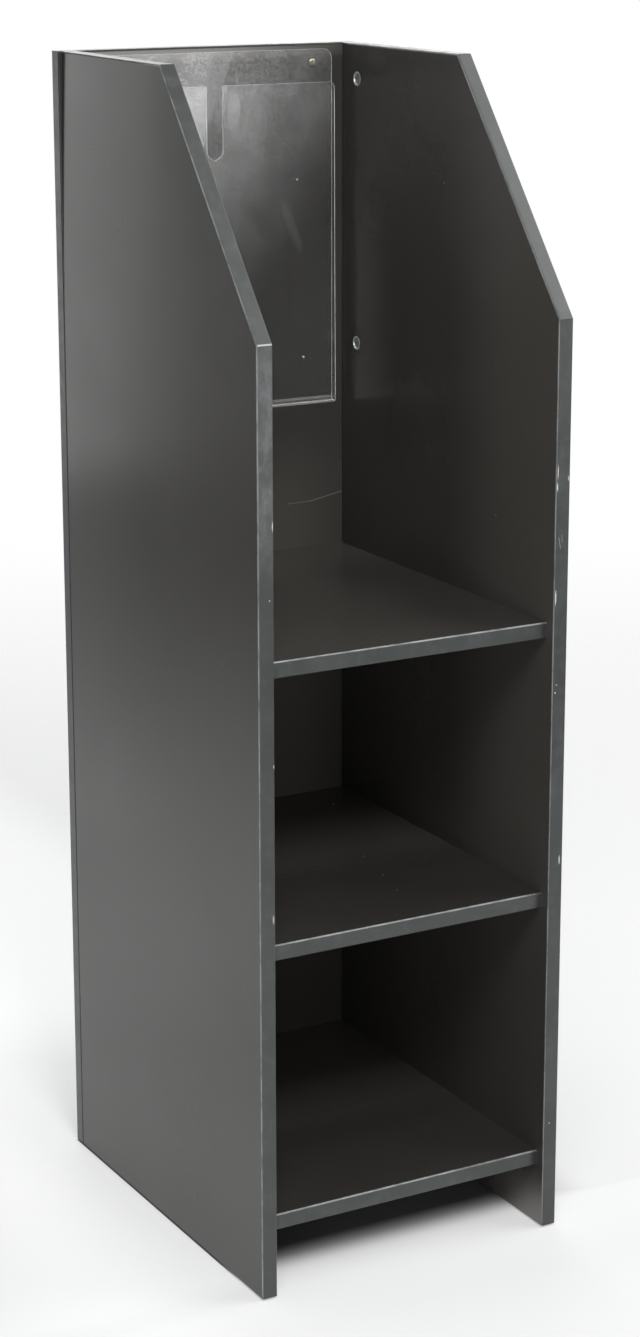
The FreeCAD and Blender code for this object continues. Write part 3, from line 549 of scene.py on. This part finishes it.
SHEET = 0.0015
POCKET_HALF_WIDTH = 0.1415
POCKET_TOP_Z = 1.174
POCKET_FOOT_Z = 0.800
FRONT_PLATE_TOP_Z = 1.140
FOLD_RADIUS = 0.00435      # of the sheet's middle surface
MOUTH_Y = 0.19425          # of the front plate's middle surface, at its top
WAVE = 0.00035             # how far the front plate bulges
WAVE_ACROSS = 21           # radians per metre
WAVE_UP = 5                # radians over the plate's height
BACKING_CORNER = 0.010
PLATE_CORNER = 0.006
SLOT_HALF_WIDTH = 0.00915
SLOT_DEPTH = 0.075
NICK_RADIUS = 0.0013       # of the small nick at the slot's foot
NICK_HALF_ANGLE = 8        # degrees of the slot's round end
# The margin carries a painted highlight along the sheet's edges.
MARGIN = 0.0011            # strip along the edges that shows their light
SOFT_EDGE = 0.0005
SOFT_EDGE_ANGLE = math.radians(50)

# Cuts across the flat sheet, so that it can bend.
FIRST_ROW = 0.03           # from the sheet's upper edge
FOLD_GUARD = 0.001         # from the fold to the cuts beside it
BACKING_STEPS = 6
FOLD_STEPS = 12
PLATE_STEPS = 16
HALF_WIDTH_STEPS = 8

BACKING = POCKET_TOP_Z - POCKET_FOOT_Z - FOLD_RADIUS - SHEET / 2
FOLD = math.pi * FOLD_RADIUS
FOLD_Y = BACK_FACE_Y - SHEET / 2 - FOLD_RADIUS
FOLD_Z = POCKET_TOP_Z - BACKING
FRONT_PLATE = FRONT_PLATE_TOP_Z - FOLD_Z
FLAT_LENGTH = BACKING + FOLD + FRONT_PLATE


def fold_sheet(across, along):
    """Where a point of the flat sheet lies once it is folded. along runs from the backing's top."""
    if along <= BACKING:
        return Vector((across, BACK_FACE_Y - SHEET / 2, POCKET_TOP_Z - along))
    if along <= BACKING + FOLD:
        turn = (along - BACKING) / FOLD_RADIUS
        return Vector((across, FOLD_Y + FOLD_RADIUS * math.cos(turn),
                       FOLD_Z - FOLD_RADIUS * math.sin(turn)))
    rise = along - BACKING - FOLD
    share = rise / FRONT_PLATE
    wave = WAVE * math.sin(math.pi * share) * math.sin(WAVE_ACROSS * across + WAVE_UP * share)
    lean = (MOUTH_Y - FOLD_Y + FOLD_RADIUS) * share
    return Vector((across, FOLD_Y - FOLD_RADIUS + lean - wave, FOLD_Z + rise))


def outline_sheet():
    """The flat sheet's outline, with round corners, the thumb slot and its nick."""
    half = POCKET_HALF_WIDTH
    slot_end = (0, FLAT_LENGTH - SLOT_DEPTH + SLOT_HALF_WIDTH)
    nick = (0, slot_end[1] - SLOT_HALF_WIDTH)
    plate_y = FLAT_LENGTH - PLATE_CORNER
    return [
        *arc((half - BACKING_CORNER, BACKING_CORNER), BACKING_CORNER, -90, 0, 8),
        *arc((half - PLATE_CORNER, plate_y), PLATE_CORNER, 0, 90, 6),
        (SLOT_HALF_WIDTH, FLAT_LENGTH),
        *arc(slot_end, SLOT_HALF_WIDTH, 0, NICK_HALF_ANGLE - 90, 9),
        *arc(nick, NICK_RADIUS, 0, -180, 6),
        *arc(slot_end, SLOT_HALF_WIDTH, -90 - NICK_HALF_ANGLE, -180, 9),
        (-SLOT_HALF_WIDTH, FLAT_LENGTH),
        *arc((PLATE_CORNER - half, plate_y), PLATE_CORNER, 90, 180, 6),
        *arc((BACKING_CORNER - half, BACKING_CORNER), BACKING_CORNER, 180, 270, 8),
    ]


def make_pocket():
    """One clear sheet, cut flat, folded up at its foot and thickened, with softened edges."""
    flat = bmesh.new()
    sheet = flat.faces.new([flat.verts.new((x, y, 0)) for x, y in outline_sheet()])
    inset = bmesh.ops.inset_region(flat, faces=[sheet], thickness=MARGIN, use_even_offset=True)
    for margin in inset["faces"]:
        margin.material_index = 1
    rows = [FIRST_ROW + i * (BACKING - FIRST_ROW) / BACKING_STEPS
            for i in range(BACKING_STEPS + 1)]
    rows += [BACKING - FOLD_GUARD]
    rows += [BACKING + FOLD * i / FOLD_STEPS for i in range(FOLD_STEPS + 1)]
    rows += [BACKING + FOLD + FOLD_GUARD]
    rows += [BACKING + FOLD + FRONT_PLATE * i / PLATE_STEPS for i in range(1, PLATE_STEPS)]
    columns = [POCKET_HALF_WIDTH * (i / HALF_WIDTH_STEPS - 1)
               for i in range(1, 2 * HALF_WIDTH_STEPS)]
    cut(flat, [((0, y, 0), (0, 1, 0)) for y in rows])
    cut(flat, [((x, 0, 0), (1, 0, 0)) for x in columns])
    for corner in flat.verts:
        corner.co = fold_sheet(corner.co.x, corner.co.y)
    flat.normal_update()
    mesh = to_mesh(flat, "clear_pocket", MATERIALS["clear_sheet"],
                   make_clear_sheet("clear_sheet_margin", MARGIN_HIGHLIGHT_HAZE), make_cut_edge())
    mesh.shade_smooth()
    pocket = add_piece("clear_pocket", mesh, "sign_pocket", "rack")
    thick = pocket.modifiers.new("thickness", "SOLIDIFY")
    thick.thickness = SHEET
    thick.offset = 0
    thick.material_offset_rim = 1
    soft = pocket.modifiers.new("soft_edges", "BEVEL")
    soft.width = SOFT_EDGE
    soft.material = 2
    soft.segments = 2
    soft.limit_method = "ANGLE"
    soft.angle_limit = SOFT_EDGE_ANGLE
    soft.harden_normals = True


make_pocket()


# ---------------------------------------------------------------- the side that leans in


BOW = 0.0040               # inward, at the left side's top rear corner
BOW_START_Z = 0.82
BOW_FULL_Z = 1.172
BOW_UP_POWER = 1.9
BOW_FRONT_Y = -0.028
BOW_BACK_POWER = 1.2
BOW_END_Y = 0.212          # the rear face stays where it is
BOW_CUTS_Z = [BOW_START_Z + 0.03 * i for i in range(12)]
BOW_CUTS_Y = [BOW_FRONT_Y + 0.025 * i for i in range(10)]
SHARP_ANGLE = math.radians(35)


def bow(place):
    """How far inward the left side has crept where it no longer meets the back panel."""
    if place.x >= 0:
        return 0.0
    up = max(0.0, (place.z - BOW_START_Z) / (BOW_FULL_Z - BOW_START_Z))
    back = min(1.0, max(0.0, (place.y - BOW_FRONT_Y) / (BACK_FACE_Y - BOW_FRONT_Y)))
    let_go = min(1.0, max(0.0, (BOW_END_Y - place.y) / (BOW_END_Y - BACK_FACE_Y)))
    return BOW * up ** BOW_UP_POWER * back ** BOW_BACK_POWER * let_go


def bend_in(node_name):
    """A copy of a CAD piece of the left side, bent by bow."""
    piece_name = node_name + "_bent"
    form = bmesh.new()
    form.from_mesh(nodes[node_name].data)
    low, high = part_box(node_name)
    planes = [((0, 0, z), (0, 0, 1)) for z in BOW_CUTS_Z]
    planes += [((0, y, 0), (0, 1, 0)) for y in BOW_CUTS_Y]
    cut(form, [(point, normal) for point, normal in planes
               if low[1] < point[1] < high[1] or low[2] < point[2] < high[2]])
    for corner in form.verts:
        corner.co.x += bow(corner.co)
    mesh = to_mesh(form, piece_name, MATERIALS[slot_of[node_name]])
    if "custom_normal" in mesh.attributes:
        mesh.attributes.remove(mesh.attributes["custom_normal"])
    mesh.shade_smooth()
    mesh.set_sharp_from_angle(angle=SHARP_ANGLE)
    add_piece(piece_name, mesh, node_name, "rack")


for node_name in ("left_side_panel", "left_top_band", "left_rear_band", "back_joint_bolts"):
    bend_in(node_name)


# ---------------------------------------------------------------- cams


CAM_RADIUS = 0.00745
CAM_DEPTH = 0.0125
CAM_SHARP_ANGLE = math.radians(30)
# From the cam's inner end to its sunk face: depth below the face, and share of the radius.
CAM_PROFILE = ((CAM_DEPTH, 1.0), (0.0003, 1.0), (0.0, 0.965), (0.0, 0.84), (0.0009, 0.78))
CROSS_REACH = 0.0040
CROSS_HALF = 0.0008
CROSS_FLOOR = 0.0030
RIM_STEPS = 40


def make_cam(node_name):
    """A cam with a chamfered rim, a sunk face and a cross recess, where the CAD cam is; the sunk
    face and recess are darker zinc as painted shade.
    """
    low, high = (Vector(corner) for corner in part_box(node_name))
    middle = (low + high) / 2
    if node_name.startswith("back_cam"):
        side = 1 if middle.x > 0 else -1
        face = Vector((side * INNER_X, middle.y, middle.z))
        inward, across = Vector((side, 0, 0)), Vector((0, 1, 0))
    else:
        face = Vector((middle.x, middle.y, low.z))
        inward, across = Vector((0, 0, 1)), Vector((1, 0, 0))
    face.x += bow(face)
    along = inward.cross(across)
    form = bmesh.new()

    def ring(depth, radius):
        angles = [math.tau * i / RIM_STEPS for i in range(RIM_STEPS)]
        return [form.verts.new(face + inward * depth
                               + radius * (across * math.cos(a) + along * math.sin(a)))
                for a in angles]

    def cross(depth):
        r, h = CROSS_REACH, CROSS_HALF
        shape = ((r, h), (h, h), (h, r), (-h, r), (-h, h), (-r, h),
                 (-r, -h), (-h, -h), (-h, -r), (h, -r), (h, -h), (r, -h))
        return [form.verts.new(face + inward * depth + across * x + along * y) for x, y in shape]

    def wall(first, second):
        for i in range(len(first)):
            form.faces.new((first[i - 1], first[i], second[i], second[i - 1]))

    def edges_of(loop):
        return [form.edges.get((loop[i - 1], loop[i])) for i in range(len(loop))]

    rings = [ring(depth, share * CAM_RADIUS) for depth, share in CAM_PROFILE]
    for first, second in zip(rings, rings[1:]):
        wall(first, second)
    form.faces.new(rings[0])
    on_rim = set(form.faces)
    mouth, floor = cross(CAM_PROFILE[-1][0]), cross(CROSS_FLOOR)
    wall(mouth, floor)
    form.faces.new(floor)
    bmesh.ops.triangle_fill(form, edges=edges_of(rings[-1]) + edges_of(mouth), use_beauty=True)
    for shape in form.faces:
        shape.material_index = 0 if shape in on_rim else 1
    bmesh.ops.recalc_face_normals(form, faces=form.faces[:])
    mesh = to_mesh(form, node_name + "_cam", MATERIALS["zinc"], zinc_painted_shade)
    mesh.shade_smooth()
    mesh.set_sharp_from_angle(angle=CAM_SHARP_ANGLE)
    add_piece(node_name + "_detail", mesh, node_name, node_name)


# Painted shade: darker zinc on the cam's sunk face and cross recess.
zinc_painted_shade = make_metal("zinc_painted_shade", (0.40, 0.43, 0.41), 0.45, metallic=0.65, grain=420, fall=0.5)
for node_name in nodes:
    if "_cam_" in node_name:
        make_cam(node_name)


# ---------------------------------------------------------------- studio


PALE_FLOOR = (0.56, 0.565, 0.57), (0.58, 0.58, 0.58)
# Painted shadow: the floor's colour under the rack.
PAINTED_SHADOW_UNDER_RACK = (0.10, 0.10, 0.10)
FLOOR_RADIUS = 8
FLOOR_FADES = (0.9, 3.2)   # distance at which the floor starts and ends to give way to white

# Where the floor glows, so that the rack's shadow stays narrow. The rows are as in the masks.
GLOW_IN_FRONT = (("Y", -0.129, -0.173, 0.0, 0.33), ("Y", -0.20, -0.30, 1.0, 0.88),
                 ("X", 0.14, 0.24, 1.0, 0.94))
GLOW_AT_RIGHT = (("X", 0.165, 0.265), ("Y", -0.30, 0.60, 0.27, 0.35))
GLOW_BEHIND = (("Y", 0.21, 0.31, 0.0, 0.33),)
GLOW_FAR_BEHIND = (("Y", 0.30, 0.62, 0.0, 0.13), ("X", 0.35, 0.15))
GLOW_AT_LEFT = (("X", -0.171, -0.281, 0.385, 0.445), ("Y", -0.15, -0.21, 1.0, 0.83),
                ("X", -0.28, -0.44, 1.0, 0.78), ("Y", -0.22, -0.32, 1.0, 0.84))
BEYOND_LEFT_SIDE = (("X", -0.1705, -0.1725),)
BEYOND_REAR_LEFT = (("Y", 0.2165, 0.2185), ("X", 0.12, -0.12))
# Where the painted shadow under the rack lies, between its sides.
UNDER_SIDES = (0.172, 0.170)
SHADOW_UNDER_RACK = (("Y", 0.218, 0.216), ("Y", -0.138, -0.118))

BACKDROP_DIRECTION = (0.5, 0.866, 0.0)
BACKDROP_REACH = (0.72, 0.92)              # cosine of the angle from that direction
ROOM = 0.13                # strength of the studio's dim sides in reflections
FILL = 0.16                # strength of the even light

# Name, azimuth, elevation, distance, width, height, watts, and whether reflections show it.
# Azimuth 0 is behind the rack, and 90 on its right.
LAMPS = (
    ("key", -165, 42, 3.0, 0.7, 0.7, 40, True),
    ("front_high", -150, 50, 3.0, 0.8, 0.8, 21, True),
    ("front_low", 180, 6, 3.0, 1.0, 0.6, 16, False),
    ("front_right", 150, 5, 3.0, 1.0, 1.0, 5.2, True),
    ("right_high", 112, 42, 3.0, 2.0, 2.0, 46, True),
    ("rear_right", 35, 16, 3.0, 1.0, 1.0, 7, True),
    ("rear", 10, 34, 3.0, 1.2, 1.2, 15, True),
    ("front_left", -139, -4, 3.0, 1.0, 0.6, 19, True),
    ("left_high", -60, 60, 3.0, 1.2, 1.2, 8, True),
    ("overhead", 0, 90, 3.0, 1.2, 1.2, 8, True),
    ("rear_left_upper", -23.5, 11, 1.45, 0.36, 0.75, 1.25, True),
    ("rear_left_lower", -22.5, -13.5, 1.45, 0.36, 0.6, 0.31, True),
)
LAMPS_AIM = (0, 0, 0.6)

# The photograph's camera, fitted to the rack's edges and corners in it.
CAMERA_PLACE = (-1.3982, -2.5246, 1.3589)
CAMERA_TURN = (75.386, -0.035, -29.621)    # degrees
CAMERA_LENS = 79.03
CAMERA_SHIFT = (-0.0145, -0.0279)


def make_floor():
    """A pale floor that keeps the rack's shadow, is painted dark under the rack as painted shadow,
    and fades into the white surround.
    """
    disc = bmesh.new()
    bmesh.ops.create_circle(disc, cap_ends=True, radius=FLOOR_RADIUS, segments=96)
    s = Shader("pale_floor")
    floor = bpy.data.objects.new("floor", to_mesh(disc, "floor", s.material))
    bpy.context.scene.collection.objects.link(floor)

    beyond = s.largest(s.ramps(BEYOND_LEFT_SIDE), s.ramps(BEYOND_REAR_LEFT))
    glow = s.largest(s.ramps(GLOW_AT_LEFT, beyond), s.ramps(GLOW_IN_FRONT), s.ramps(GLOW_AT_RIGHT),
                     s.sum(s.ramps(GLOW_BEHIND), s.ramps(GLOW_FAR_BEHIND)))
    rays = s.node("ShaderNodeLightPath").outputs
    seen = s.largest(rays["Is Camera Ray"], rays["Is Glossy Ray"], rays["Is Transmission Ray"])
    # Painted shadow under the rack, between its sides.
    shadow_under = s.ramps(SHADOW_UNDER_RACK, s.band(s.size(s.along["X"]), *UNDER_SIDES))
    pale = s.mix(s.noise(scale=3, detail=3), *PALE_FLOOR)
    s.set(Base_Color=s.mix(shadow_under, pale, PAINTED_SHADOW_UNDER_RACK), Roughness=0.7,
          Specular_IOR_Level=0.2, Emission_Color=(1, 1, 1), Emission_Strength=s.product(seen, glow))
    s.let_through(s.band(s.vector("LENGTH", s.place, output=1), *FLOOR_FADES))


def make_world():
    """White to the camera, and in reflections where the backdrop stands. Dim elsewhere."""
    world = bpy.data.worlds.new("studio")
    world.use_nodes = True
    n = Nodes(world.node_tree)
    rays = n.node("ShaderNodeLightPath").outputs
    direction = n.node("ShaderNodeTexCoord").outputs["Generated"]
    toward = n.vector("DOT_PRODUCT", direction, BACKDROP_DIRECTION, output=1)
    backdrop = n.band(toward, *BACKDROP_REACH, ROOM, 1.0)
    mirrored = n.largest(rays["Is Glossy Ray"], rays["Is Transmission Ray"])
    strength = n.largest(n.product(mirrored, backdrop), rays["Is Camera Ray"], FILL)
    background = n.tree.nodes["Background"].inputs
    n.feed(background["Strength"], strength)
    n.feed(background["Color"], (1, 1, 1))
    bpy.context.scene.world = world


def add_softbox(name, azimuth, elevation, distance, width, height, watts, mirrored):
    """A lamp turned to the rack's middle."""
    turn, lift = math.radians(azimuth), math.radians(elevation)
    away = Vector((math.sin(turn) * math.cos(lift), math.cos(turn) * math.cos(lift),
                   math.sin(lift)))
    lamp = bpy.data.lights.new(name, "AREA")
    lamp.shape = "RECTANGLE"
    lamp.size, lamp.size_y = width, height
    lamp.energy = watts
    box = bpy.data.objects.new(name, lamp)
    box.location = Vector(LAMPS_AIM) + distance * away
    box.rotation_euler = away.to_track_quat("Z", "Y").to_euler()
    box.visible_camera = False
    box.visible_glossy = mirrored
    bpy.context.scene.collection.objects.link(box)


def add_camera():
    data = bpy.data.cameras.new("camera")
    data.lens = CAMERA_LENS
    data.shift_x, data.shift_y = CAMERA_SHIFT
    camera = bpy.data.objects.new("camera", data)
    camera.location = CAMERA_PLACE
    camera.rotation_euler = Euler(math.radians(angle) for angle in CAMERA_TURN)
    bpy.context.scene.collection.objects.link(camera)
    bpy.context.scene.camera = camera


make_floor()
make_world()
for softbox in LAMPS:
    add_softbox(*softbox)
add_camera()
bpy.context.scene.view_settings.view_transform = "Standard"
